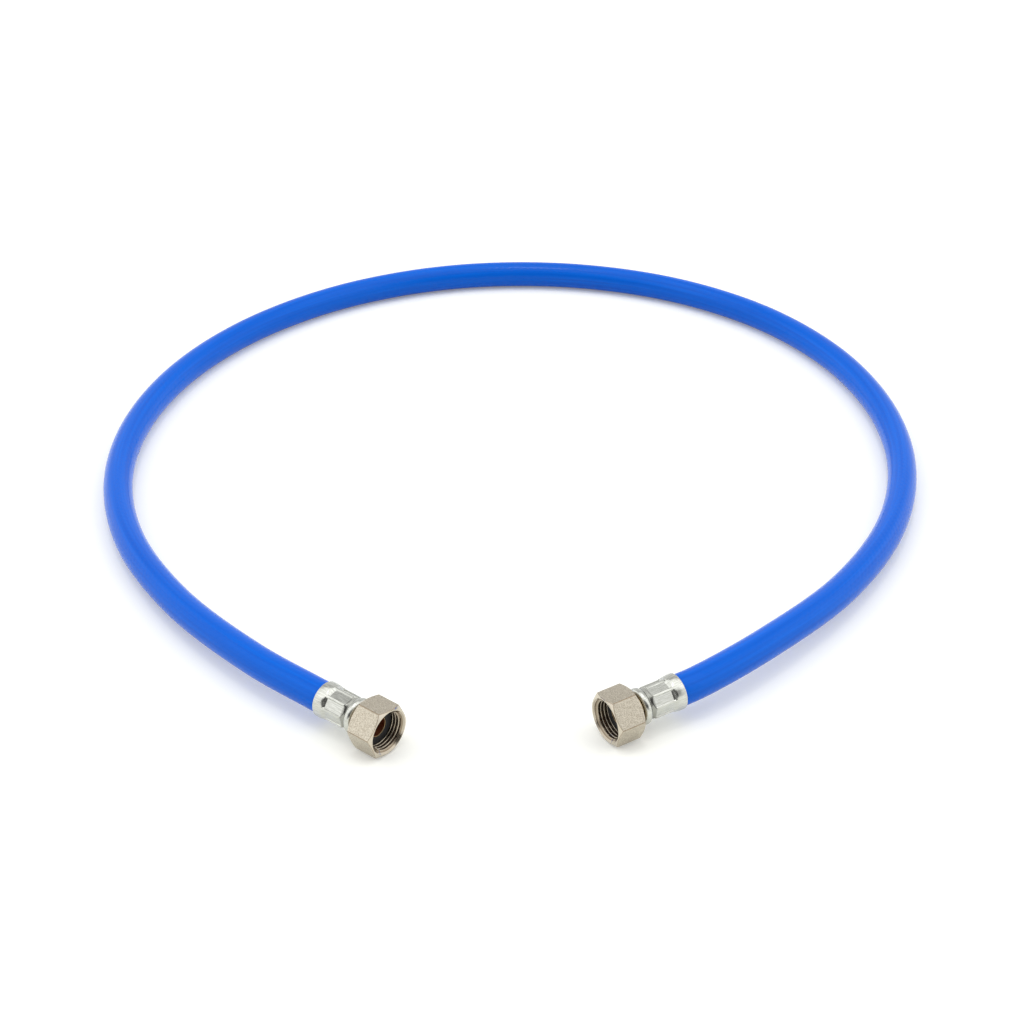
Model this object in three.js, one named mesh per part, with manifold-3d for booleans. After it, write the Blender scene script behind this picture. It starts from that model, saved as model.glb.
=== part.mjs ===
// Flexible water hose with a swivelling hexagon union nut at each end.
// Millimetres, +Z up. The hose lies in one open loop on the floor, z = 0.
// The origin is on the floor, midway between the two end fittings.
// +X runs from the left fitting to the right one, and the loop reaches out to +Y.

import {
  BufferGeometry,
  CatmullRomCurve3,
  ExtrudeGeometry,
  Float32BufferAttribute,
  Group,
  LatheGeometry,
  MathUtils,
  Mesh,
  MeshStandardMaterial,
  Path,
  Shape,
  Vector2,
  Vector3,
} from 'three';
import { mergeVertices } from 'three/addons/utils/BufferGeometryUtils.js';
import Module from 'manifold-3d';

// Hose
const hoseDiameter = 16.2;
const hoseBore = 10;
const hoseSides = 12;
const hoseSteps = 60;
const squeezedBore = 9.5;
const hoseDepthInRing = 3.4;
const hoseTongue = 4;
const tongueInset = 0.6;
const tongueBore = 10.8;

// Swivel nut, G 1/2 inside, 24 mm spanner
const nutSides = 6;
const nutAcrossFlats = 24;
const nutLength = 15;
const nutFaceDiameter = 23.2;
const nutMouthDiameter = 22.4;
const nutChamfer = MathUtils.degToRad(30);
const threadMinor = 18.63;
const shoulderThickness = 3.7;

// Flat sealing washer
const gasketBore = 10;
const gasketThickness = 2;

// Barbed brass nipple
const flangeThickness = 2;
const neckDiameter = 14.8;
const mouthBore = 9.4;
const mouthBoreDepth = 3.2;
const boreTaperLength = 2.5;
const waterBore = 6.6;
const collarGap = 0.85;
const collarLength = 1.2;
const tailLength = 19;
const barbCount = 5;
const barbDiameter = 8.9;
const barbRootDiameter = 8.2;

// Crimped sleeve, its stretches in order from the nut
const beadLength = 6;
const grooveLength = 3.5;
const crimpLength = 8.8;
const rampLength = 2.6;
const ringLength = 4.6;
const beadDiameter = 18.6;
const beadRound = 1.4;
const grooveDepth = 0.75;
const crimpDepth = 0.7;
const ridgeDrop = 0.85;
const ridgeWidth = 0.8;
const crimpCount = 8;
const ringWall = 0.8;
const ringEdge = 0.3;
const sleeveWall = 0.7;
const lipThickness = 2;
const lipHole = 10.8;

// Clearances
const clearance = 0.3;
const swivelClearance = 0.4;
const nutEndPlay = 0.5;
const floorGap = 0.05;

const roundSides = 40;
const cutMargin = 2;

// The mouths of the two fittings on the floor plan, the way that each one faces and how far it dips.
// The nut and the crimp flats are turned about the fitting's axis. All angles are in degrees.
const fittings = {
  left: { x: -52.05, y: -14.38, heading: -39.8, dip: 1.5, nutTurn: -6.5, crimpTurn: 12 },
  right: { x: 49.55, y: -4.68, heading: -149, dip: 3.6, nutTurn: 6.5, crimpTurn: 33 },
};

// The hose's middle line between the straight stretches at its fittings.
// It rises to each of them from the floor.
const restHeight = hoseDiameter / 2 + floorGap;
const straightLead = 10.6;
const hoseRoute = [
  [-121, 46, 13.6],
  [-166.6, 103.8, 10.8],
  [-200.6, 170, 9],
  [-216.8, 240.6, 8.3],
  [-213.8, 312.6, restHeight],
  [-192.3, 381.1, restHeight],
  [-153.3, 441.1, restHeight],
  [-98.8, 487.6, restHeight],
  [-32.3, 514.6, restHeight],
  [38.7, 517.6, restHeight],
  [107.2, 496.6, restHeight],
  [164.2, 453.6, restHeight],
  [204.2, 394.1, restHeight],
  [225.2, 325.6, restHeight],
  [227.7, 253.6, 8.4],
  [211.3, 182, 9.6],
  [177.2, 114.8, 12],
  [130.5, 56.5, 15.4],
];

// Stations along a fitting's axis: 0 is the nut's front face, and +X points out of its mouth.
const shoulderFront = shoulderThickness - nutLength;
const flangeBack = shoulderFront + clearance;
const flangeFront = flangeBack + flangeThickness;
const gasketBack = flangeFront + clearance;
const gasketFront = gasketBack + gasketThickness;
const sleeveFront = -nutLength - nutEndPlay;
const beadBack = sleeveFront - beadLength;
const grooveBack = beadBack - grooveLength;
const crimpBack = grooveBack - crimpLength;
const ringFront = crimpBack - rampLength;
const sleeveBack = ringFront - ringLength;
const lipBack = sleeveFront - lipThickness;
const neckBack = sleeveFront + clearance;
const collarFront = lipBack - clearance;
const collarBack = collarFront - collarLength;
const hoseEnd = collarBack - clearance;
const tailBack = collarBack - tailLength;
const tubeEnd = sleeveBack + hoseDepthInRing;

const ringBore = hoseDiameter + 2 * clearance;
const ringDiameter = ringBore + 2 * ringWall;
const ridgeDiameter = ringDiameter - 2 * ridgeDrop;
const grooveDiameter = ridgeDiameter - 2 * grooveDepth;
const crimpAcrossFlats = ridgeDiameter - 2 * crimpDepth;
const crimpBore = crimpAcrossFlats - 2 * sleeveWall;
const collarDiameter = crimpBore - 2 * collarGap;
const tongueDiameter = hoseDiameter - 2 * tongueInset;
const nutCornerRadius = nutAcrossFlats / 2 / Math.cos(Math.PI / nutSides);
const nutCornerChamfer = (nutCornerRadius - nutFaceDiameter / 2) * Math.tan(nutChamfer);

const wasm = await Module();
wasm.setup();

// Closes a geometry's seams and hands it over as a solid for cutting and joining.
function solidOf(geometry) {
  const bare = geometry.clone();
  bare.deleteAttribute('normal');
  bare.deleteAttribute('uv');
  const merged = mergeVertices(bare, 1e-4);
  return new wasm.Manifold(new wasm.Mesh({
    numProp: 3,
    vertProperties: new Float32Array(merged.attributes.position.array),
    triVerts: new Uint32Array(merged.index.array),
  }));
}

function geometryOf(solid) {
  const mesh = solid.getMesh();
  const geometry = new BufferGeometry();
  geometry.setAttribute('position', new Float32BufferAttribute(mesh.vertProperties, 3));
  geometry.setIndex(Array.from(mesh.triVerts));
  geometry.computeVertexNormals();
  return geometry;
}

// Turns a closed outline of [station, diameter] pairs about the fitting's axis.
// The outline runs forwards along the outside and back along the inside.
function turned(outline) {
  const profile = [...outline, outline[0]].map(([station, diameter]) => new Vector2(diameter / 2, station));
  const geometry = new LatheGeometry(profile, roundSides);
  geometry.rotateZ(-Math.PI / 2);
  return geometry;
}

// Hexagon bar along the fitting's axis, turned from where one flat faces down.
function hexagonBar(nutTurn) {
  const corners = Array.from({ length: nutSides }, (_, i) => {
    const angle = (i * 2 * Math.PI) / nutSides;
    return new Vector2(Math.sin(angle), Math.cos(angle)).multiplyScalar(nutCornerRadius);
  });
  const bar = new ExtrudeGeometry(new Shape(corners.reverse()), { depth: nutLength, bevelEnabled: false });
  bar.rotateY(-Math.PI / 2);
  bar.rotateX(MathUtils.degToRad(nutTurn));
  return bar;
}

// Turned blank that rounds off the hexagon's corners and holds the nut's bore and shoulder.
function nutBlank() {
  const outerDiameter = 2 * nutCornerRadius + cutMargin;
  const chamferLength = ((outerDiameter - nutFaceDiameter) / 2) * Math.tan(nutChamfer);
  const neckHole = neckDiameter + 2 * swivelClearance;
  const leadIn = (nutMouthDiameter - threadMinor) / 2;
  return turned([
    [-nutLength, neckHole],
    [-nutLength, nutFaceDiameter],
    [chamferLength - nutLength, outerDiameter],
    [-chamferLength, outerDiameter],
    [0, nutFaceDiameter],
    [0, nutMouthDiameter],
    [-leadIn, threadMinor],
    [shoulderFront, threadMinor],
    [shoulderFront, neckHole],
  ]);
}

function nutGeometry(nutTurn) {
  return geometryOf(solidOf(hexagonBar(nutTurn)).intersect(solidOf(nutBlank())));
}

function gasketGeometry() {
  const outer = threadMinor - 2 * clearance;
  return turned([
    [gasketBack, gasketBore],
    [gasketBack, outer],
    [gasketFront, outer],
    [gasketFront, gasketBore],
  ]);
}

// Saw teeth that grip the hose: each rises towards the nut and drops square to the root.
function barbOutline() {
  const pitch = (collarBack - tailBack) / barbCount;
  return Array.from({ length: barbCount }, (_, i) => tailBack + i * pitch).flatMap((start) => [
    [start, barbRootDiameter],
    [start + pitch - clearance, barbDiameter],
  ]);
}

function nippleGeometry() {
  const flangeDiameter = threadMinor - 2 * clearance;
  const lipSeat = lipHole - 2 * clearance;
  const mouthBack = flangeFront - mouthBoreDepth;
  return turned([
    [tailBack, waterBore],
    ...barbOutline(),
    [collarBack, barbRootDiameter],
    [collarBack, collarDiameter],
    [collarFront, collarDiameter],
    [collarFront, lipSeat],
    [neckBack, lipSeat],
    [neckBack, neckDiameter],
    [flangeBack, neckDiameter],
    [flangeBack, flangeDiameter],
    [flangeFront, flangeDiameter],
    [flangeFront, mouthBore],
    [mouthBack, mouthBore],
    [mouthBack - boreTaperLength, waterBore],
  ]);
}

// The sleeve before it is crimped, with a rolled bead at the nut and a ring over the hose.
function sleeveBlank() {
  const beadEdge = beadDiameter - beadRound;
  return turned([
    [sleeveBack, ringBore],
    [sleeveBack, ringDiameter - 2 * ringEdge],
    [sleeveBack + ringEdge, ringDiameter],
    [ringFront, ringDiameter],
    [crimpBack, ridgeDiameter],
    [grooveBack, ridgeDiameter],
    [grooveBack, grooveDiameter],
    [beadBack, grooveDiameter],
    [beadBack + beadRound / 3, beadEdge],
    [beadBack + beadRound, beadDiameter],
    [sleeveFront - beadRound, beadDiameter],
    [sleeveFront - beadRound / 3, beadEdge],
    [sleeveFront, beadEdge - beadRound],
    [sleeveFront, lipHole],
    [lipBack, lipHole],
    [lipBack, crimpBore],
    [crimpBack, crimpBore],
    [ringFront, ringBore],
  ]);
}

// One jaw of the crimping tool: a flat along the sleeve that slopes up to the ring.
function crimpJaw(turn) {
  const flat = crimpAcrossFlats / 2;
  const ring = ringDiameter / 2;
  const slope = (ring - ridgeDiameter / 2) / rampLength;
  const slopeStart = ringFront + (ring - flat) / slope / 2;
  const top = ring + cutMargin;
  const side = new Shape([
    new Vector2(grooveBack + clearance, flat),
    new Vector2(grooveBack + clearance, top),
    new Vector2(ringFront, top),
    new Vector2(ringFront, ring),
    new Vector2(slopeStart, flat),
  ].reverse());
  const facetWidth = crimpAcrossFlats * Math.tan(Math.PI / crimpCount);
  const width = facetWidth - ridgeWidth;
  const jaw = new ExtrudeGeometry(side, { depth: width, bevelEnabled: false });
  jaw.translate(0, 0, -width / 2);
  jaw.rotateX(turn);
  return jaw;
}

function ferruleGeometry(crimpTurn) {
  const jaws = Array.from({ length: crimpCount }, (_, i) => {
    return crimpJaw(MathUtils.degToRad(crimpTurn) + (i * 2 * Math.PI) / crimpCount);
  });
  return geometryOf(jaws.reduce((sleeve, jaw) => sleeve.subtract(solidOf(jaw)), solidOf(sleeveBlank())));
}

// Height of the mouth above the floor, with the dipping nut resting on its lowest front corner.
function mouthHeight(dip, nutTurn) {
  const lean = Math.PI / nutSides - Math.abs(nutTurn);
  return nutCornerRadius * Math.cos(lean) * Math.cos(dip) - nutCornerChamfer * Math.sin(dip);
}

function place(object, fitting) {
  const [heading, dip, nutTurn] = [fitting.heading, fitting.dip, fitting.nutTurn].map(MathUtils.degToRad);
  object.position.set(fitting.x, fitting.y, mouthHeight(dip, nutTurn));
  object.rotation.set(0, dip, heading, 'ZYX');
  object.updateMatrixWorld();
  return object;
}

// A point on a fitting's axis in the part's frame.
function pointOnAxis(fitting, station) {
  return new Vector3(station, 0, 0).applyMatrix4(place(new Group(), fitting).matrixWorld);
}

function hoseCurve() {
  return new CatmullRomCurve3([
    pointOnAxis(fittings.left, tubeEnd),
    pointOnAxis(fittings.left, sleeveBack - straightLead),
    ...hoseRoute.map(([x, y, z]) => new Vector3(x, y, z)),
    pointOnAxis(fittings.right, sleeveBack - straightLead),
    pointOnAxis(fittings.right, tubeEnd),
  ], false, 'centripetal');
}

// Thick-walled tube along the middle line, open at both ends.
function freeHose() {
  const ring = (diameter) => Array.from({ length: hoseSides }, (_, i) => {
    const angle = (i * 2 * Math.PI) / hoseSides;
    return new Vector2(Math.cos(angle), Math.sin(angle)).multiplyScalar(diameter / 2);
  });
  const section = new Shape(ring(hoseDiameter));
  section.holes.push(new Path(ring(hoseBore)));
  return new ExtrudeGeometry(section, { steps: hoseSteps, extrudePath: hoseCurve() });
}

// The end of the hose, squeezed between the nipple's barbs and the crimped sleeve.
function squeezedEnd() {
  const squeezedDiameter = crimpBore - 2 * clearance;
  return turned([
    [tubeEnd - hoseTongue, tongueBore],
    [tubeEnd - hoseTongue, tongueDiameter],
    [ringFront, tongueDiameter],
    [crimpBack, squeezedDiameter],
    [hoseEnd, squeezedDiameter],
    [hoseEnd, squeezedBore],
    [crimpBack, squeezedBore],
    [ringFront, tongueBore],
  ]);
}

function hoseGeometry() {
  return geometryOf(Object.values(fittings).reduce((hose, fitting) => {
    const end = squeezedEnd().applyMatrix4(place(new Group(), fitting).matrixWorld);
    return hose.add(solidOf(end));
  }, solidOf(freeHose())));
}

const looks = {
  hose: { color: 0x1763db, roughness: 0.38, metalness: 0 },
  ferrule: { color: 0xd4d6d2, roughness: 0.25, metalness: 1 },
  nut: { color: 0xbdb4a0, roughness: 0.42, metalness: 1 },
  nipple: { color: 0xb9823f, roughness: 0.4, metalness: 1 },
  gasket: { color: 0x161617, roughness: 0.8, metalness: 0 },
};

function piece(name, look, geometry) {
  const mesh = new Mesh(geometry, new MeshStandardMaterial(look));
  mesh.name = name;
  return mesh;
}

function endFitting(side, fitting) {
  const group = new Group();
  group.add(piece(`${side}_nut`, looks.nut, nutGeometry(fitting.nutTurn)));
  group.add(piece(`${side}_gasket`, looks.gasket, gasketGeometry()));
  group.add(piece(`${side}_nipple`, looks.nipple, nippleGeometry()));
  group.add(piece(`${side}_ferrule`, looks.ferrule, ferruleGeometry(fitting.crimpTurn)));
  return place(group, fitting);
}

const flexibleHose = new Group();
flexibleHose.add(piece('hose', looks.hose, hoseGeometry()));
for (const [side, fitting] of Object.entries(fittings)) {
  flexibleHose.add(endFitting(side, fitting));
}

export default flexibleHose;
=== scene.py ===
"""Studio picture of a blue flexible water hose with a swivel union nut at each end."""

import math

import bpy
import numpy as np
from mathutils import Matrix, Vector


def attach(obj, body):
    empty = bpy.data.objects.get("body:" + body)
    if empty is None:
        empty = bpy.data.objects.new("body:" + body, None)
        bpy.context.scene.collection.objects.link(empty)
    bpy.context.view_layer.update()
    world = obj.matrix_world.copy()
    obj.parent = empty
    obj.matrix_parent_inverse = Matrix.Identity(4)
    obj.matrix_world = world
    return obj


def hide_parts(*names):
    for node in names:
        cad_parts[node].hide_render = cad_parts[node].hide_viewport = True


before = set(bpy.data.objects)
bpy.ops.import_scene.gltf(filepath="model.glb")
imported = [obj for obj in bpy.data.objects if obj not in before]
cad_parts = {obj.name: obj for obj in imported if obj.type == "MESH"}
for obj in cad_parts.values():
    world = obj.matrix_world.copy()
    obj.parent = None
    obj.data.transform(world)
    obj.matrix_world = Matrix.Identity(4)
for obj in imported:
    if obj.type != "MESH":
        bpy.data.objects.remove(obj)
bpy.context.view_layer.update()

# Sizes are in millimetres, and MM turns them into the part's metres.
MM = 0.001

# A small gap between neighbouring rings of points, and between a mark and an edge
SMALL_GAP = 0.1

# Hose, with SPAN_POINTS points worked out between each two of its route
HOSE_DIAMETER = 16.2
HOSE_SIDES = 48
HOSE_STEP = 2.0
SPAN_POINTS = 60
BRAID_PITCH = 4.5
BRAID_COUNT = 12

# Stations along a fitting's axis: 0 is the nut's front face, and +X points out of its mouth.
# First those of the washer and the nipple.
GASKET_FRONT = -6.7
GASKET_BACK = -8.7
FLANGE_FRONT = -9.0
FLANGE_BACK = -11.0
NECK_BACK = -17.3
COLLAR_FRONT = -19.1
COLLAR_BACK = -20.3
TAIL_BACK = -38.0

# Stations of the nut
THREAD_END = -8.4
SHOULDER_FRONT = -11.3
NUT_LENGTH = 15.0

# Stations of the sleeve and of the hose's end inside it
SLEEVE_FRONT = -17.6
LIP_BACK = -18.8
BEAD_FRONT = -18.5
BEAD_CROWN = -19.6
BEAD_BACK = -20.7
GROOVE_FLOOR = -22.2
GROOVE_BACK = -24.2
CRIMP_BACK = -34.0
RING_FRONT = -36.4
TUBE_END = -37.6
RING_CROWN = -38.6
SLEEVE_BACK = -41.0

# Nut. The crowding, in radians, draws the points round it towards its corners.
ACROSS_FLATS = 24.0
NUT_CORNERS = 6
FLAT_TO_CORNER = 30.0
CORNER_RADIUS = ACROSS_FLATS / 2 / math.cos(math.radians(FLAT_TO_CORNER))
CORNER_SOFTNESS = 0.16
NUT_FACE_DIAMETER = 23.2
NUT_RIM_DIAMETER = NUT_FACE_DIAMETER - SMALL_GAP
NUT_MOUTH_DIAMETER = 22.4
NECK_HOLE = 15.6
NUT_CHAMFER = math.radians(30.0)
CORNER_CHAMFER = (CORNER_RADIUS - NUT_FACE_DIAMETER / 2) * math.tan(NUT_CHAMFER)
CHAMFER_SOFTNESS = 0.06
CHAMFER_MARGIN = 0.3
CHAMFER_STEP = 0.07
FLAT_RINGS = 12
NUT_SIDES = 300
CORNER_CROWDING = 0.11

# Inside thread, G 1/2. The flank's slope and the flats at crest and root are in thread depths.
THREAD_MINOR = 18.63
THREAD_MAJOR = 20.96
THREAD_PITCH = 1.814
THREAD_FADE = 1.2
FLANK_SLOPE = 2.4
FLAT_CUT = 0.1
RINGS_PER_TURN = 20
FIRST_THREAD_RING = -0.06
COUNTERSINK_SOFTNESS = 0.08

# How far wear and turning marks reach from the nut's corners and chamfers, and how dark it is inside, where
# brass under thin plating and painted shade darken it, the painted shade most in the thread's roots
EDGE_WEAR = 0.36
EDGE_WEAR_START = 0.06
CORNER_WEAR_DEPTH = 0.25
TURNED_START = 0.04
TURNED_FULL = 0.09
COUNTERSINK_BRASS_AND_SHADE = 0.3
CREST_BRASS_AND_SHADE = 0.4

# Sleeve
BEAD_DIAMETER = 18.6
BEAD_EDGE_DIAMETER = 16.4
BEAD_SHOULDER_DIAMETER = 18.1
RING_DIAMETER = 18.4
RING_SHOULDER_DIAMETER = 17.8
RING_BORE = 16.8
GROOVE_DIAMETER = 13.8
SHOULDER_ROUND = 1.0
SLEEVE_ROUND = 0.45
LIP_HOLE = 10.8
CRIMP_FLATS = 15.2
CRIMP_BORE = 13.2
CRIMP_COUNT = 8
CRIMP_SOFTNESS = 0.15
RIDGE_DIAMETER = 17.1
RIDGE_WIDTH = 1.2
RIDGE_FLANK = 0.3
SLEEVE_SIDES = 400
SLEEVE_STEP = 0.2
# Where the painted shade in the groove between the crimp and the bead comes in and goes out
GROOVE_SHADE_COMES = (GROOVE_BACK - 0.3, GROOVE_BACK + 0.5)
GROOVE_SHADE_GOES = (BEAD_BACK + 0.1, BEAD_BACK - 0.7)

# Washer and nipple
GASKET_BORE = 10.8
GASKET_DIAMETER = 18.03
GASKET_ROUND = 0.5
SPIGOT_FRONT = GASKET_FRONT - 0.25
SPIGOT_DIAMETER = 10.5
MOUTH_BORE = 9.9
MOUTH_BORE_DEPTH = 3.2
BORE_TAPER = 2.5
BORE_MARGIN = 0.02
WATER_BORE = 6.6
NECK_DIAMETER = 14.8
LIP_SEAT = 10.2
COLLAR_DIAMETER = 12.2
TAIL_DIAMETER = 8.6
STEM_ROUND = 0.12
ROUND_SIDES = 96

# A side of an outline is at least SIDE_PER_ARC times as long as the arcs cut into its ends.
SIDE_PER_ARC = 2.1
ARC_POINTS = 5
QUAD_CORNERS = 4

# Where the fittings' mouths are on the floor plan, the way they face and dip, and how they are turned
FITTINGS = {
    "left": {"x": -52.05, "y": -14.38, "heading": -39.8, "dip": 1.5, "nut_turn": -6.5, "crimp_turn": 12.0},
    "right": {"x": 49.55, "y": -4.68, "heading": -149.0, "dip": 3.6, "nut_turn": 6.5, "crimp_turn": 33.0},
}

STRAIGHT_LEAD = 10.6
FLOOR_GAP = 0.05
REST_HEIGHT = HOSE_DIAMETER / 2 + FLOOR_GAP

# The hose's middle line between the straight stretches at its fittings
HOSE_ROUTE = [
    (-121.0, 46.0, 13.6),
    (-166.6, 103.8, 10.8),
    (-200.6, 170.0, 9.0),
    (-216.8, 240.6, 8.3),
    (-213.8, 312.6, REST_HEIGHT),
    (-192.3, 381.1, REST_HEIGHT),
    (-153.3, 441.1, REST_HEIGHT),
    (-98.8, 487.6, REST_HEIGHT),
    (-32.3, 514.6, REST_HEIGHT),
    (38.7, 517.6, REST_HEIGHT),
    (107.2, 496.6, REST_HEIGHT),
    (164.2, 453.6, REST_HEIGHT),
    (204.2, 394.1, REST_HEIGHT),
    (225.2, 325.6, REST_HEIGHT),
    (227.7, 253.6, 8.4),
    (211.3, 182.0, 9.6),
    (177.2, 114.8, 12.0),
    (130.5, 56.5, 15.4),
]

# Colours, each pair from dark to light
BLUE_COVER = ((0.002, 0.108, 0.63), (0.002, 0.142, 0.745))
SATIN_NICKEL = ((0.425, 0.372, 0.287), (0.66, 0.61, 0.51))
TURNED_NICKEL = (0.60, 0.545, 0.45)
WORN_NICKEL = (0.26, 0.19, 0.12)
# Inside the nut: brass under thin plating, together with painted shade
INSIDE_BRASS_AND_SHADE = (0.22, 0.165, 0.105)
ZINC_PLATE = ((0.49, 0.495, 0.45), (0.67, 0.68, 0.635))
# Dark grey painted into the sleeve's groove as painted shade
GROOVE_PAINTED_SHADE = (0.17, 0.17, 0.15)
CLEAN_BRASS = ((0.58, 0.42, 0.22), (0.74, 0.58, 0.34))
WET_BRASS = ((0.16, 0.045, 0.018), (0.26, 0.085, 0.035))
BLACK_RUBBER = ((0.009, 0.009, 0.010), (0.022, 0.022, 0.023))
FLOOR_COLOR = (0.86, 0.86, 0.81)
FLOOR_GLOW_COLOR = (0.95, 0.97, 1.0)
WHITE = (1.0, 1.0, 1.0)

# The range that most of a noise lies in
NOISE_LOW = 0.3
NOISE_HIGH = 0.7

# How much each pattern lifts the hose's cover
BRAID_RELIEF = 0.5
STREAK_RELIEF = 0.6
GRAIN_RELIEF = 0.15

# How strongly wear, turning and the painted shade in the groove change their material
WEAR_SHARE = 0.75
TURNED_SHINE = 0.2
GROOVE_SHADE_SHARE = 0.6

# Floor, its reach in metres and how strongly the camera sees it glow
FLOOR_REACH = 30.0
FLOOR_GLOW = 0.22

# Studio light by direction: one strength up to the first edge, another from the second edge on,
# and a smooth change between them. The front's numbers are shares of the light from above and behind.
TOP_DIRECTION = (0.0, -0.25, 1.0)
TOP_EDGES = (0.66, 0.82)
TOP_STRENGTHS = (0.43, 1.35)
FRONT_EDGES = (-0.7, -0.35)
FRONT_SHARES = (0.15, 1.0)
BACK_EDGES = (0.55, 0.9)
BACK_STRENGTHS = (0.15, 0.42)
SIDE_EDGES = (0.5, 0.75)
SIDE_STRENGTHS = (0.0, 0.72)
HORIZON_EDGES = (0.08, 0.2)
HORIZON_STRENGTHS = (1.0, 0.0)

# Sun, with its places in metres
SUN_STRENGTH = 0.22
SUN_WIDTH = math.radians(11)
SUN_PLACE = (-0.1, 0.2, 2.4)
SUN_TARGET = (0.0, 0.25, 0.0)

# Camera, with its far limit in metres
CAMERA_PLACE = (5.55, -887.6, 636.0)
CAMERA_PITCH = 30.0
CAMERA_LENS = 80.26
CAMERA_SENSOR = 36.0
CAMERA_FAR = 20.0


# Places

def mouth_height(fitting):
    """Height of a mouth above the floor, with the dipping nut resting on its lowest front corner."""
    lean = math.radians(FLAT_TO_CORNER - abs(fitting["nut_turn"]))
    dip = math.radians(fitting["dip"])
    return CORNER_RADIUS * math.cos(lean) * math.cos(dip) - CORNER_CHAMFER * math.sin(dip)


def place_of(fitting):
    """The matrix from a fitting's own millimetres to the part's metres."""
    mouth = Vector((fitting["x"], fitting["y"], mouth_height(fitting)))
    heading = Matrix.Rotation(math.radians(fitting["heading"]), 4, "Z")
    dip = Matrix.Rotation(math.radians(fitting["dip"]), 4, "Y")
    return Matrix.Scale(MM, 4) @ Matrix.Translation(mouth) @ heading @ dip


def point_on_axis(fitting, station):
    return np.array(place_of(fitting) @ Vector((station, 0.0, 0.0))) / MM


# Shapes

def centripetal_curve(points, step):
    """Points at an even step along the smooth curve through the given points."""
    points = np.asarray(points, dtype=float)
    ends = np.vstack([2 * points[0] - points[1], points, 2 * points[-1] - points[-2]])
    dense = []
    for p0, p1, p2, p3 in zip(ends, ends[1:], ends[2:], ends[3:]):
        t1 = math.sqrt(np.linalg.norm(p1 - p0))
        t2 = t1 + math.sqrt(np.linalg.norm(p2 - p1))
        t3 = t2 + math.sqrt(np.linalg.norm(p3 - p2))
        t = np.linspace(t1, t2, SPAN_POINTS, endpoint=False)[:, None]
        a1 = (t1 - t) / t1 * p0 + t / t1 * p1
        a2 = (t2 - t) / (t2 - t1) * p1 + (t - t1) / (t2 - t1) * p2
        a3 = (t3 - t) / (t3 - t2) * p2 + (t - t2) / (t3 - t2) * p3
        b1 = (t2 - t) / t2 * a1 + t / t2 * a2
        b2 = (t3 - t) / (t3 - t1) * a2 + (t - t1) / (t3 - t1) * a3
        dense.append((t2 - t) / (t2 - t1) * b1 + (t - t1) / (t2 - t1) * b2)
    line = np.vstack(dense + [points[-1:]])
    along = np.concatenate([[0.0], np.cumsum(np.linalg.norm(np.diff(line, axis=0), axis=1))])
    even = np.linspace(0.0, along[-1], max(2, round(along[-1] / step)) + 1)
    return np.column_stack([np.interp(even, along, line[:, axis]) for axis in range(3)]), even


def hose_line():
    """The hose's middle line from inside the left sleeve to inside the right one."""
    left, right = FITTINGS["left"], FITTINGS["right"]
    lead = SLEEVE_BACK - STRAIGHT_LEAD
    route = [point_on_axis(left, TUBE_END), point_on_axis(left, lead)]
    route += [np.array(point) for point in HOSE_ROUTE]
    route += [point_on_axis(right, lead), point_on_axis(right, TUBE_END)]
    return centripetal_curve(route, HOSE_STEP)


def soft_min(a, b, softness):
    return 0.5 * (a + b - np.sqrt((a - b) ** 2 + softness ** 2))


def soft_max(a, b, softness):
    return -soft_min(-a, -b, softness)


def smooth_step(low, high, value):
    t = np.clip((value - low) / (high - low), 0.0, 1.0)
    return t * t * (3 - 2 * t)


def from_middle(angle, sector):
    """How far each angle is from the middle of its sector, with the first middle at 0."""
    return (angle + sector / 2) % sector - sector / 2


def add_mesh(name, vertices, faces, smooth_angle):
    mesh = bpy.data.meshes.new(name)
    mesh.from_pydata(vertices.tolist(), [], faces)
    mesh.validate()
    mesh.shade_smooth()
    mesh.set_sharp_from_angle(angle=math.radians(smooth_angle))
    piece = bpy.data.objects.new(name, mesh)
    bpy.context.scene.collection.objects.link(piece)
    return piece


def grid_faces(rows, sides):
    """Quads between neighbouring rings of points, each ring closed on itself."""
    return [
        (row * sides + side, row * sides + (side + 1) % sides,
         (row + 1) * sides + (side + 1) % sides, (row + 1) * sides + side)
        for row in range(rows - 1)
        for side in range(sides)
    ]


def add_places(mesh, along, sides):
    """Keeps each point's place along, in metres, and round, in turns, as a texture map."""
    corner = np.empty(len(mesh.loops), dtype=np.int32)
    mesh.loops.foreach_get("vertex_index", corner)
    row, side = np.divmod(corner, sides)
    quad = np.arange(len(corner)) // QUAD_CORNERS
    wraps = (side == 0) & (quad % sides == sides - 1)
    places = np.column_stack([np.asarray(along)[row] * MM, (side + sides * wraps) / sides])
    layer = mesh.uv_layers.new(name="along_and_round")
    layer.data.foreach_set("uv", places.astype(np.float32).ravel())


def mark(piece, name, values):
    """Keeps a number for each point of a piece, for its material to read."""
    numbers = piece.data.attributes.new(name, "FLOAT", "POINT")
    numbers.data.foreach_set("value", np.asarray(values, float).ravel())


def even_angles(sides):
    return np.arange(sides) * 2 * math.pi / sides


def turned_piece(name, rings, angle, fitting, smooth_angle=32, turn=0.0):
    """A ring-shaped solid about a fitting's axis. Each ring is a station and a radius,
    and the radius may differ round the ring."""
    sides = len(angle)
    vertices = []
    for station, radius in rings:
        radius = np.broadcast_to(radius, sides)
        vertices.append(np.column_stack([
            np.broadcast_to(station, sides), radius * np.cos(angle), radius * np.sin(angle),
        ]))
    count = len(rings) * sides
    faces = [tuple(point % count for point in face) for face in grid_faces(len(rings) + 1, sides)]
    piece = add_mesh(name, np.vstack(vertices), faces, smooth_angle)
    add_places(piece.data, [station for station, _ in rings], sides)
    piece.data.transform(place_of(fitting) @ Matrix.Rotation(math.radians(turn), 4, "X"))
    return piece


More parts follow.
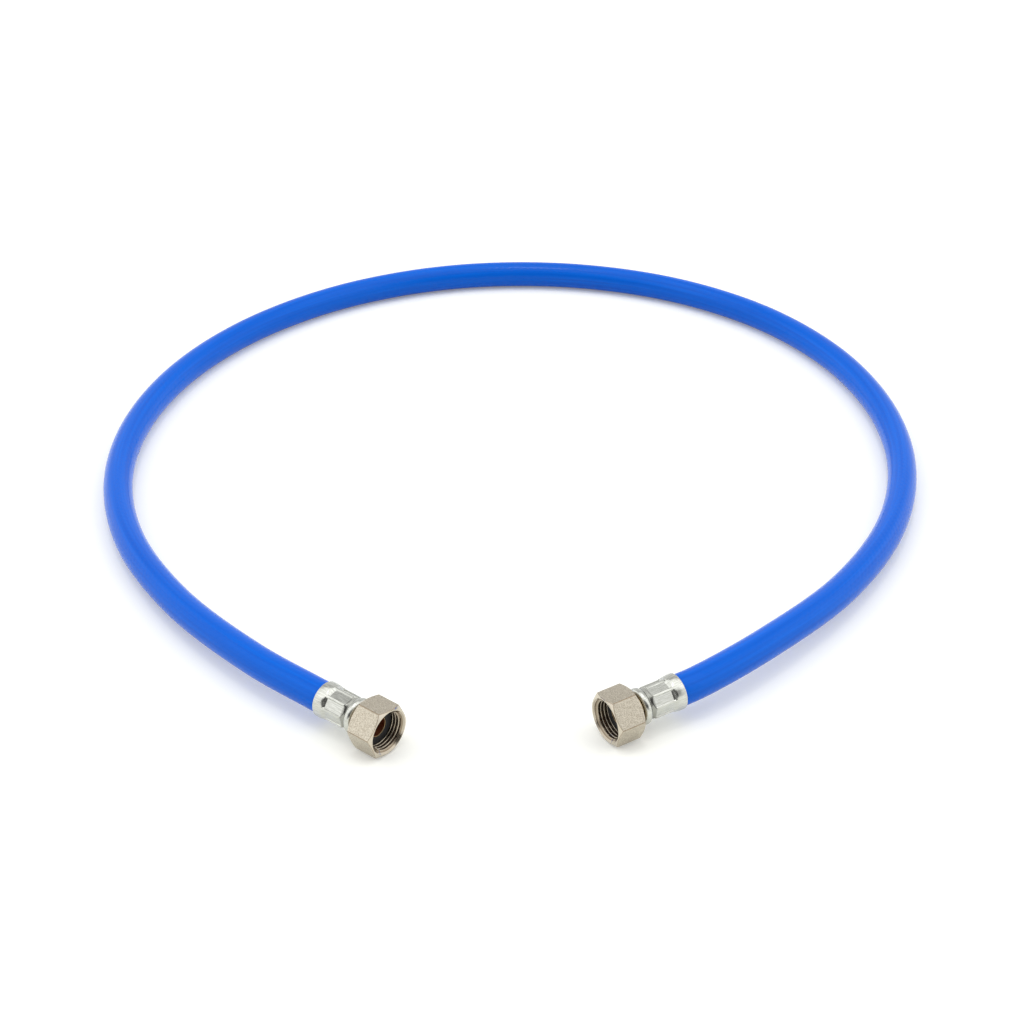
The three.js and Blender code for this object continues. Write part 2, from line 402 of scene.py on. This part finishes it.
def line_rings(*corners, step=0.4):
    """Plain round rings along a chain of (station, diameter) corners."""
    rings = []
    for (x0, d0), (x1, d1) in zip(corners, corners[1:]):
        count = max(1, math.ceil(math.hypot(x1 - x0, (d1 - d0) / 2) / step))
        for i in range(count):
            t = i / count
            rings.append((x0 + (x1 - x0) * t, (d0 + (d1 - d0) * t) / 2))
    rings.append((corners[-1][0], corners[-1][1] / 2))
    return rings


def rounded(corners, radius):
    """Cuts each inner corner of a chain of (station, diameter) corners into a small arc.
    A third number in a corner is its own size of arc."""
    points = [np.array([x, d / 2]) for x, d, *_ in corners]
    result = [corners[0]]
    for before, corner, after, (_, _, *own) in zip(points, points[1:], points[2:], corners[1:]):
        back, ahead = before - corner, after - corner
        back_length, ahead_length = np.linalg.norm(back), np.linalg.norm(ahead)
        wanted = own[0] if own else radius
        reach = min(wanted, back_length / SIDE_PER_ARC, ahead_length / SIDE_PER_ARC)
        start = corner + back / back_length * reach
        end = corner + ahead / ahead_length * reach
        for t in np.linspace(0.0, 1.0, ARC_POINTS):
            x, r = (1 - t) ** 2 * start + 2 * t * (1 - t) * corner + t ** 2 * end
            result.append((x, 2 * r))
    result.append(corners[-1])
    return result


def hexagon_radius(angle):
    """The outline of the hexagon, with its corners a little rounded and a flat facing down."""
    sector = 2 * math.pi / NUT_CORNERS
    to_flat = from_middle(angle + math.pi / 2, sector)
    near = ACROSS_FLATS / 2 / np.cos(to_flat)
    far = ACROSS_FLATS / 2 / np.cos(sector - np.abs(to_flat))
    return soft_min(near, far, CORNER_SOFTNESS)


def nut_side_rings(angle):
    """Flats of the nut, with the round chamfer that turns off the corners at both faces."""
    near_face = np.arange(0.0, CORNER_CHAMFER + CHAMFER_MARGIN, CHAMFER_STEP)
    plain_start = near_face[-1] + SMALL_GAP
    stations = np.concatenate([
        near_face - NUT_LENGTH,
        np.linspace(plain_start - NUT_LENGTH, -plain_start, FLAT_RINGS),
        -near_face[:0:-1],
    ])
    flats = hexagon_radius(angle)
    rings = []
    for station in stations:
        depth = min(-station, station + NUT_LENGTH)
        cone = NUT_FACE_DIAMETER / 2 + depth / math.tan(NUT_CHAMFER)
        rings.append((station, soft_min(flats, cone, CHAMFER_SOFTNESS)))
    return rings


def thread_rings(angle):
    """The inside thread, right-handed, behind a 45 degree countersink."""
    crest, root, mouth = THREAD_MINOR / 2, THREAD_MAJOR / 2, NUT_MOUTH_DIAMETER / 2
    rings = []
    for station in np.arange(FIRST_THREAD_RING, THREAD_END, -THREAD_PITCH / RINGS_PER_TURN):
        turn = (station / THREAD_PITCH - angle / (2 * math.pi)) % 1.0
        flank = np.clip(FLANK_SLOPE * np.abs(turn - 0.5) - FLAT_CUT, 0.0, 1.0)
        fade = smooth_step(THREAD_END, THREAD_END + THREAD_FADE, station)
        thread = crest + (root - crest) * smooth_step(0.0, 1.0, flank) * fade
        rings.append((station, soft_max(thread, mouth + station, COUNTERSINK_SOFTNESS)))
    return rings


def mark_nut(nut, rings, angle):
    """Marks where the nut is turned, where its plating is worn and where it is dark inside, partly from
    brass under thin plating and partly from painted shade that is deepest in the thread's roots.
    """
    flats = hexagon_radius(angle)
    below_flats = np.array([flats - radius for _, radius in rings])
    sector = 2 * math.pi / NUT_CORNERS
    from_corner = np.abs((angle + math.pi / 2) % sector - sector / 2) * CORNER_RADIUS
    at_corner = (below_flats < CORNER_WEAR_DEPTH) * smooth_step(EDGE_WEAR, EDGE_WEAR / 2, from_corner)
    at_chamfer = smooth_step(0.0, EDGE_WEAR_START, below_flats)
    at_chamfer *= smooth_step(EDGE_WEAR, EDGE_WEAR / 2, below_flats)
    # Inside the mouth: brass under thin plating, plus painted shade that is deepest in the thread's roots
    # and lighter on its crests and in the countersink
    across = 2 * np.array([np.broadcast_to(radius, len(angle)) for _, radius in rings])
    into_thread = np.clip((across - THREAD_MINOR) / (THREAD_MAJOR - THREAD_MINOR), 0.0, 1.0)
    thread_brass_and_shade = CREST_BRASS_AND_SHADE + (1 - CREST_BRASS_AND_SHADE) * into_thread
    inside = np.where(across > THREAD_MAJOR, COUNTERSINK_BRASS_AND_SHADE, thread_brass_and_shade)
    inside *= across < NUT_MOUTH_DIAMETER - SMALL_GAP
    mark(nut, "turned", smooth_step(TURNED_START, TURNED_FULL, below_flats))
    mark(nut, "edge", np.maximum(at_corner, at_chamfer))
    mark(nut, "inside", inside)


def make_nut(side, fitting):
    even = even_angles(NUT_SIDES)
    angle = even - CORNER_CROWDING * np.sin(NUT_CORNERS * even)
    rings = nut_side_rings(angle)
    rings += line_rings((0.0, NUT_RIM_DIAMETER), (0.0, NUT_MOUTH_DIAMETER))
    rings += thread_rings(angle)
    rings += line_rings(
        (THREAD_END, THREAD_MINOR), (SHOULDER_FRONT, THREAD_MINOR), (SHOULDER_FRONT, NECK_HOLE),
        (-NUT_LENGTH, NECK_HOLE), (-NUT_LENGTH, NUT_RIM_DIAMETER), step=0.8,
    )
    nut = turned_piece(f"{side}_union_nut", rings, angle, fitting, turn=fitting["nut_turn"])
    mark_nut(nut, rings, angle)
    return nut


def make_gasket(side, fitting):
    middle = (GASKET_BORE + GASKET_DIAMETER) / 2
    outline = [
        (GASKET_BACK, middle), (GASKET_BACK, GASKET_DIAMETER),
        (GASKET_FRONT, GASKET_DIAMETER), (GASKET_FRONT, GASKET_BORE),
        (GASKET_BACK, GASKET_BORE), (GASKET_BACK, middle - SMALL_GAP),
    ]
    rings = line_rings(*rounded(outline, GASKET_ROUND))
    return turned_piece(f"{side}_washer", rings, even_angles(ROUND_SIDES), fitting, smooth_angle=60)


def make_nipple(side, fitting):
    mouth_back = FLANGE_FRONT - MOUTH_BORE_DEPTH
    outline = [
        (TAIL_BACK, TAIL_DIAMETER), (COLLAR_BACK, TAIL_DIAMETER), (COLLAR_BACK, COLLAR_DIAMETER),
        (COLLAR_FRONT, COLLAR_DIAMETER), (COLLAR_FRONT, LIP_SEAT), (NECK_BACK, LIP_SEAT),
        (NECK_BACK, NECK_DIAMETER), (FLANGE_BACK, NECK_DIAMETER), (FLANGE_BACK, GASKET_DIAMETER),
        (FLANGE_FRONT, GASKET_DIAMETER), (FLANGE_FRONT, SPIGOT_DIAMETER), (SPIGOT_FRONT, SPIGOT_DIAMETER),
        (SPIGOT_FRONT, MOUTH_BORE), (mouth_back, MOUTH_BORE),
        (mouth_back - BORE_TAPER, WATER_BORE), (TAIL_BACK, WATER_BORE),
    ]
    rings = line_rings(*rounded(outline, STEM_ROUND), step=1.0)
    stem = turned_piece(f"{side}_stem", rings, even_angles(ROUND_SIDES), fitting)
    wet = [
        station < SPIGOT_FRONT - SMALL_GAP and radius < MOUTH_BORE / 2 + BORE_MARGIN
        for station, radius in rings
    ]
    mark(stem, "wet", np.repeat(wet, ROUND_SIDES))
    return stem


def crimp_height(station):
    """Distance of the crimped flats from the axis: level, then sloping up to the ring."""
    level, ring = CRIMP_FLATS / 2, RING_SHOULDER_DIAMETER / 2
    return level + (ring - level) * smooth_step(CRIMP_BACK, RING_FRONT, station)


def crimped(rings, angle, crimp_turn):
    """Presses the flats into the sleeve and leaves a thin ridge between each two."""
    to_flat = from_middle(angle - math.radians(crimp_turn), 2 * math.pi / CRIMP_COUNT)
    flat_width = CRIMP_FLATS * math.tan(math.pi / CRIMP_COUNT) - RIDGE_WIDTH
    result = []
    for station, radius in rings:
        if RING_FRONT < station < GROOVE_FLOOR:
            flat = crimp_height(station) / np.cos(to_flat)
            across = np.abs(radius * np.sin(to_flat))
            ridge = smooth_step(flat_width / 2, flat_width / 2 + RIDGE_FLANK, across)
            pressed = soft_min(radius, flat, CRIMP_SOFTNESS)
            radius = radius + (pressed - radius) * (1 - ridge)
        result.append((station, radius))
    return result


def make_sleeve(side, fitting):
    angle = even_angles(SLEEVE_SIDES)
    outside = rounded([
        (SLEEVE_BACK, RING_BORE), (SLEEVE_BACK, RING_DIAMETER), (RING_CROWN, RING_DIAMETER, SHOULDER_ROUND),
        (RING_FRONT, RING_SHOULDER_DIAMETER, SHOULDER_ROUND), (CRIMP_BACK, RIDGE_DIAMETER),
        (GROOVE_BACK, RIDGE_DIAMETER), (GROOVE_FLOOR, GROOVE_DIAMETER), (BEAD_BACK, BEAD_SHOULDER_DIAMETER),
        (BEAD_CROWN, BEAD_DIAMETER, SHOULDER_ROUND), (BEAD_FRONT, BEAD_SHOULDER_DIAMETER, SHOULDER_ROUND),
        (SLEEVE_FRONT, BEAD_EDGE_DIAMETER), (SLEEVE_FRONT, LIP_HOLE),
    ], SLEEVE_ROUND)
    inside = line_rings(
        (SLEEVE_FRONT, LIP_HOLE), (LIP_BACK, LIP_HOLE), (LIP_BACK, CRIMP_BORE),
        (CRIMP_BACK, CRIMP_BORE), (RING_FRONT, RING_BORE), (SLEEVE_BACK + SMALL_GAP, RING_BORE), step=4.0,
    )
    rings = crimped(line_rings(*outside, step=SLEEVE_STEP), angle, fitting["crimp_turn"]) + inside[1:]
    sleeve = turned_piece(f"{side}_sleeve", rings, angle, fitting, smooth_angle=50)
    stations = np.repeat([station for station, _ in rings], SLEEVE_SIDES)
    # The groove's mark is painted shade: it darkens the sleeve between the crimp and the bead
    comes = smooth_step(*GROOVE_SHADE_COMES, stations)
    goes = smooth_step(*GROOVE_SHADE_GOES, stations)
    mark(sleeve, "groove", comes * goes)
    return sleeve


def make_hose():
    """A round tube along the hose's line, with its length and turn kept as texture places."""
    line, along = hose_line()
    tangent = np.gradient(line, axis=0)
    tangent /= np.linalg.norm(tangent, axis=1)[:, None]
    across = np.cross(tangent, np.array([0.0, 0.0, 1.0]))
    across /= np.linalg.norm(across, axis=1)[:, None]
    upward = np.cross(across, tangent)
    angle = even_angles(HOSE_SIDES)
    radius = HOSE_DIAMETER / 2
    rings = [
        point + radius * (np.outer(np.cos(angle), side) + np.outer(np.sin(angle), up))
        for point, side, up in zip(line, across, upward)
    ]
    last_ring = (len(rings) - 1) * HOSE_SIDES
    caps = [tuple(range(HOSE_SIDES))[::-1], tuple(range(last_ring, last_ring + HOSE_SIDES))]
    faces = grid_faces(len(rings), HOSE_SIDES) + caps
    hose = add_mesh("blue_hose", np.vstack(rings) * MM, faces, smooth_angle=60)
    add_places(hose.data, along, HOSE_SIDES)
    return hose, line * MM, along[-1] * MM


# Materials

class Shade:
    """A material with a Principled shader, and short ways to add and join its nodes."""

    def __init__(self, name, **sockets):
        self.material = bpy.data.materials.new(name)
        self.material.use_nodes = True
        self.tree = self.material.node_tree
        self.shader = self.tree.nodes["Principled BSDF"]
        for socket, value in sockets.items():
            self.shader.inputs[socket.replace("_", " ")].default_value = value

    def add(self, kind, settings=None, **inputs):
        """Adds a node. An input is a value or another node's socket, and i0 names the first input."""
        node = self.tree.nodes.new(kind)
        for name, value in (settings or {}).items():
            setattr(node, name, value)
        for name, value in inputs.items():
            socket = node.inputs[int(name[1:]) if name[1:].isdigit() else name]
            if isinstance(value, bpy.types.NodeSocket):
                self.tree.links.new(value, socket)
            else:
                socket.default_value = value
        return node

    def math(self, operation, a, b=0.0):
        return self.add("ShaderNodeMath", {"operation": operation}, i0=a, i1=b).outputs[0]

    def noise(self, scale, detail=3.0):
        """Noise in the part's own place, from 0 to 1, with its scale per metre."""
        place = self.add("ShaderNodeTexCoord").outputs["Object"]
        return self.add("ShaderNodeTexNoise", Vector=place, Scale=scale, Detail=detail).outputs["Fac"]

    def surface_place(self):
        """Where a point is along its piece, in metres, and round it, in turns."""
        return self.add("ShaderNodeUVMap", {"uv_map": "along_and_round"}).outputs[0]

    def stretched_noise(self, place, per_metre, per_turn, detail):
        """Noise that is finer along the piece or round it."""
        stretch = self.add("ShaderNodeMapping", Vector=place, Scale=(per_metre, per_turn, 1.0)).outputs[0]
        return self.add("ShaderNodeTexNoise", Vector=stretch, Scale=1.0, Detail=detail).outputs["Fac"]

    def ramp(self, value, low, high, from_low=NOISE_LOW, from_high=NOISE_HIGH):
        """A number that goes from low to high as value goes from from_low to from_high."""
        inputs = {"Value": value, "From Min": from_low, "From Max": from_high, "To Min": low, "To Max": high}
        return self.add("ShaderNodeMapRange", None, **inputs).outputs[0]

    def attribute(self, name):
        return self.add("ShaderNodeAttribute", {"attribute_name": name}).outputs["Fac"]

    def blend_color(self, factor, first, second):
        """From the first colour to the second, each one a plain colour or another blend."""
        ends = {
            name: color if isinstance(color, bpy.types.NodeSocket) else (*color, 1.0)
            for name, color in (("i6", first), ("i7", second))
        }
        return self.add("ShaderNodeMix", {"data_type": "RGBA"}, Factor=factor, **ends).outputs[2]

    def bump(self, height, distance):
        normal = self.add("ShaderNodeBump", Height=height, Distance=distance)
        self.tree.links.new(normal.outputs[0], self.shader.inputs["Normal"])

    def drive(self, socket, value):
        self.tree.links.new(value, self.shader.inputs[socket])


def hose_material():
    """Extruded blue cover over a textile braid that just shows as rows of soft dots."""
    shade = Shade("blue_hose_cover", Specular_IOR_Level=0.13)
    place = shade.surface_place()
    split = shade.add("ShaderNodeSeparateXYZ", Vector=place)
    along, turn = split.outputs[0], split.outputs[1]
    lengthwise = shade.math("COSINE", shade.math("MULTIPLY", along, 2 * math.pi / (BRAID_PITCH * MM)))
    roundwise = shade.math("COSINE", shade.math("MULTIPLY", turn, 2 * math.pi * BRAID_COUNT))
    braid = shade.math("MULTIPLY", lengthwise, roundwise)
    fine = shade.noise(scale=1400.0, detail=4.0)
    streaks = shade.stretched_noise(place, per_metre=9.0, per_turn=26.0, detail=4.0)
    shade.drive("Base Color", shade.blend_color(shade.ramp(streaks, 0.0, 1.0), *BLUE_COVER))
    shade.drive("Roughness", shade.ramp(fine, low=0.14, high=0.22))
    braid_height = shade.math("MULTIPLY", braid, BRAID_RELIEF)
    streak_height = shade.math("MULTIPLY", streaks, STREAK_RELIEF)
    fine_height = shade.math("MULTIPLY", fine, GRAIN_RELIEF)
    height = shade.math("ADD", shade.math("ADD", braid_height, streak_height), fine_height)
    shade.bump(height, distance=0.00006)
    return shade.material


def nut_material():
    """Nickel plate on brass: grainy satin flats with worn corners, smooth where the nut was turned,
    and darker inside, where brass shows through thin plating and painted shade darkens the thread's roots
    most."""
    shade = Shade("satin_nickel_plate")
    turned, inside = shade.attribute("turned"), shade.attribute("inside")
    grain = shade.noise(scale=1800.0)
    grain_tone = shade.ramp(grain, 0.0, 1.0, from_low=0.36, from_high=0.62)
    outside = shade.blend_color(turned, shade.blend_color(grain_tone, *SATIN_NICKEL), TURNED_NICKEL)
    wear = shade.math("MULTIPLY", shade.attribute("edge"), WEAR_SHARE)
    worn = shade.blend_color(wear, outside, WORN_NICKEL)
    # Darker inside the nut: brass under thin plating and painted shade
    shade.drive("Base Color", shade.blend_color(inside, worn, INSIDE_BRASS_AND_SHADE))
    shade.drive("Metallic", shade.ramp(inside, low=1.0, high=0.8, from_low=0.0, from_high=1.0))
    turned_shine = shade.math("MULTIPLY", turned, TURNED_SHINE)
    grain_roughness = shade.ramp(grain, low=0.30, high=0.42)
    shade.drive("Roughness", shade.math("SUBTRACT", grain_roughness, turned_shine))
    plain = shade.ramp(turned, 1.0, 0.0, from_low=0.0, from_high=1.0)
    shade.bump(shade.math("MULTIPLY", grain, plain), distance=0.00013)
    return shade.material


def sleeve_material():
    """Bright zinc-plated pressed steel with faint drawing marks along it, and painted shade darkening the
    groove.
    """
    shade = Shade("zinc_plated_steel", Metallic=1.0)
    drawn = shade.stretched_noise(shade.surface_place(), per_metre=220.0, per_turn=110.0, detail=3.0)
    shade.drive("Roughness", shade.ramp(drawn, low=0.16, high=0.26))
    plate = shade.blend_color(shade.ramp(drawn, 0.0, 1.0), *ZINC_PLATE)
    # Painted shade in the groove: the plate is blended towards a dark grey there
    groove_shade = shade.math("MULTIPLY", shade.attribute("groove"), GROOVE_SHADE_SHARE)
    shade.drive("Base Color", shade.blend_color(groove_shade, plate, GROOVE_PAINTED_SHADE))
    shade.bump(drawn, distance=0.00002)
    return shade.material


def brass_material():
    """Bare turned brass, tarnished brown where the water runs."""
    shade = Shade("bare_brass")
    wet = shade.attribute("wet")
    tarnish = shade.noise(scale=300.0, detail=5.0)
    clean = shade.blend_color(shade.ramp(tarnish, 0.0, 1.0), *CLEAN_BRASS)
    brown = shade.blend_color(shade.ramp(tarnish, 0.0, 1.0), *WET_BRASS)
    shade.drive("Base Color", shade.blend_color(wet, clean, brown))
    shade.drive("Metallic", shade.ramp(wet, low=1.0, high=0.3, from_low=0.0, from_high=1.0))
    shade.drive("Roughness", shade.ramp(tarnish, low=0.30, high=0.5))
    shade.bump(shade.noise(scale=1500.0), distance=0.00003)
    return shade.material


def washer_material():
    """Dull black moulded rubber with a fine grain."""
    shade = Shade("black_washer_rubber")
    grain = shade.noise(scale=2500.0)
    shade.drive("Roughness", shade.ramp(grain, low=0.5, high=0.72))
    shade.drive("Base Color", shade.blend_color(grain, *BLACK_RUBBER))
    shade.bump(grain, distance=0.00005)
    return shade.material


# Floor, lights and camera

def seen_by_camera(tree):
    """1 for what the camera sees directly, in a mirror or through glass, and 0 for other light."""
    path = tree.nodes.new("ShaderNodeLightPath")
    seen = path.outputs["Is Camera Ray"]
    for ray in ("Is Glossy Ray", "Is Transmission Ray"):
        either = tree.nodes.new("ShaderNodeMath")
        either.operation = "MAXIMUM"
        tree.links.new(seen, either.inputs[0])
        tree.links.new(path.outputs[ray], either.inputs[1])
        seen = either.outputs[0]
    return seen


def make_floor():
    """Plain white floor. Its glow makes it as white as paper to the camera, and shadows stay on it."""
    corners = FLOOR_REACH * np.array([(-1, -1, 0), (1, -1, 0), (1, 1, 0), (-1, 1, 0)])
    floor = add_mesh("studio_floor", corners, [(0, 1, 2, 3)], smooth_angle=30)
    material = bpy.data.materials.new("white_floor")
    material.use_nodes = True
    tree = material.node_tree
    shader = tree.nodes["Principled BSDF"]
    shader.inputs["Base Color"].default_value = (*FLOOR_COLOR, 1.0)
    shader.inputs["Roughness"].default_value = 1.0
    shader.inputs["Specular IOR Level"].default_value = 0.0
    shader.inputs["Emission Color"].default_value = (*FLOOR_GLOW_COLOR, 1.0)
    glow = tree.nodes.new("ShaderNodeMath")
    glow.operation = "MULTIPLY"
    glow.inputs[1].default_value = FLOOR_GLOW
    tree.links.new(seen_by_camera(tree), glow.inputs[0])
    tree.links.new(glow.outputs[0], shader.inputs["Emission Strength"])
    floor.data.materials.append(material)


def make_world():
    """Soft studio light: bright from above and both sides, plain from the back, dark towards
    the front, and white along the horizon."""
    world = bpy.data.worlds.new("studio")
    bpy.context.scene.world = world
    world.use_nodes = True
    tree = world.node_tree

    def ramp(value, edges, strengths):
        node = tree.nodes.new("ShaderNodeMapRange")
        node.interpolation_type = "SMOOTHSTEP"
        for socket, number in zip(("From Min", "From Max", "To Min", "To Max"), (*edges, *strengths)):
            node.inputs[socket].default_value = number
        tree.links.new(value, node.inputs["Value"])
        return node.outputs[0]

    def joined(operation, *values):
        node = tree.nodes.new("ShaderNodeMath")
        node.operation = operation
        for value, socket in zip(values, node.inputs):
            tree.links.new(value, socket)
        return node.outputs[0]

    way = tree.nodes.new("ShaderNodeTexCoord").outputs["Generated"]
    split = tree.nodes.new("ShaderNodeSeparateXYZ")
    tree.links.new(way, split.inputs[0])
    towards_top = tree.nodes.new("ShaderNodeVectorMath")
    towards_top.operation = "DOT_PRODUCT"
    tree.links.new(way, towards_top.inputs[0])
    towards_top.inputs[1].default_value = TOP_DIRECTION
    above = ramp(towards_top.outputs["Value"], TOP_EDGES, TOP_STRENGTHS)
    front = ramp(split.outputs["Y"], FRONT_EDGES, FRONT_SHARES)
    back = ramp(split.outputs["Y"], BACK_EDGES, BACK_STRENGTHS)
    sides = ramp(joined("ABSOLUTE", split.outputs["X"]), SIDE_EDGES, SIDE_STRENGTHS)
    horizon = ramp(split.outputs["Z"], HORIZON_EDGES, HORIZON_STRENGTHS)
    open_sky = joined("MULTIPLY", joined("ADD", above, back), front)
    light = joined("MAXIMUM", joined("ADD", open_sky, sides), horizon)
    background = tree.nodes["Background"]
    background.inputs["Color"].default_value = (*WHITE, 1.0)
    tree.links.new(light, background.inputs["Strength"])


def make_sun():
    """A small, weak sun from above, for the hose's highlight."""
    light = bpy.data.lights.new("top_sun", "SUN")
    light.energy = SUN_STRENGTH
    light.angle = SUN_WIDTH
    lamp = bpy.data.objects.new("top_sun", light)
    lamp.location = SUN_PLACE
    lamp.rotation_euler = (Vector(SUN_TARGET) - Vector(SUN_PLACE)).to_track_quat("-Z", "Y").to_euler()
    bpy.context.scene.collection.objects.link(lamp)


def make_camera():
    camera = bpy.data.objects.new("camera", bpy.data.cameras.new("camera"))
    camera.data.lens = CAMERA_LENS
    camera.data.sensor_width = CAMERA_SENSOR
    camera.data.clip_end = CAMERA_FAR
    camera.location = Vector(CAMERA_PLACE) * MM
    camera.rotation_euler = (math.radians(90.0 - CAMERA_PITCH), 0.0, 0.0)
    bpy.context.scene.collection.objects.link(camera)
    bpy.context.scene.camera = camera


def dress(piece, material, body, node):
    """Gives a piece its finish and lets it stand for a solid of the frame."""
    piece.data.materials.append(material)
    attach(piece, body)
    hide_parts(node)


def make_object():
    cover = hose_material()
    nickel = nut_material()
    steel = sleeve_material()
    brass = brass_material()
    rubber = washer_material()

    hose, line, length = make_hose()
    dress(hose, cover, "hose_and_tails", "hose")
    for side, fitting in FITTINGS.items():
        nut_body = f"{side}_union_nut"
        dress(make_sleeve(side, fitting), steel, "hose_and_tails", f"{side}_ferrule")
        dress(make_nipple(side, fitting), brass, "hose_and_tails", f"{side}_nipple")
        dress(make_nut(side, fitting), nickel, nut_body, f"{side}_nut")
        dress(make_gasket(side, fitting), rubber, nut_body, f"{side}_gasket")


make_camera()
make_object()
make_floor()
make_world()
make_sun()
bpy.context.scene.view_settings.view_transform = "Standard"
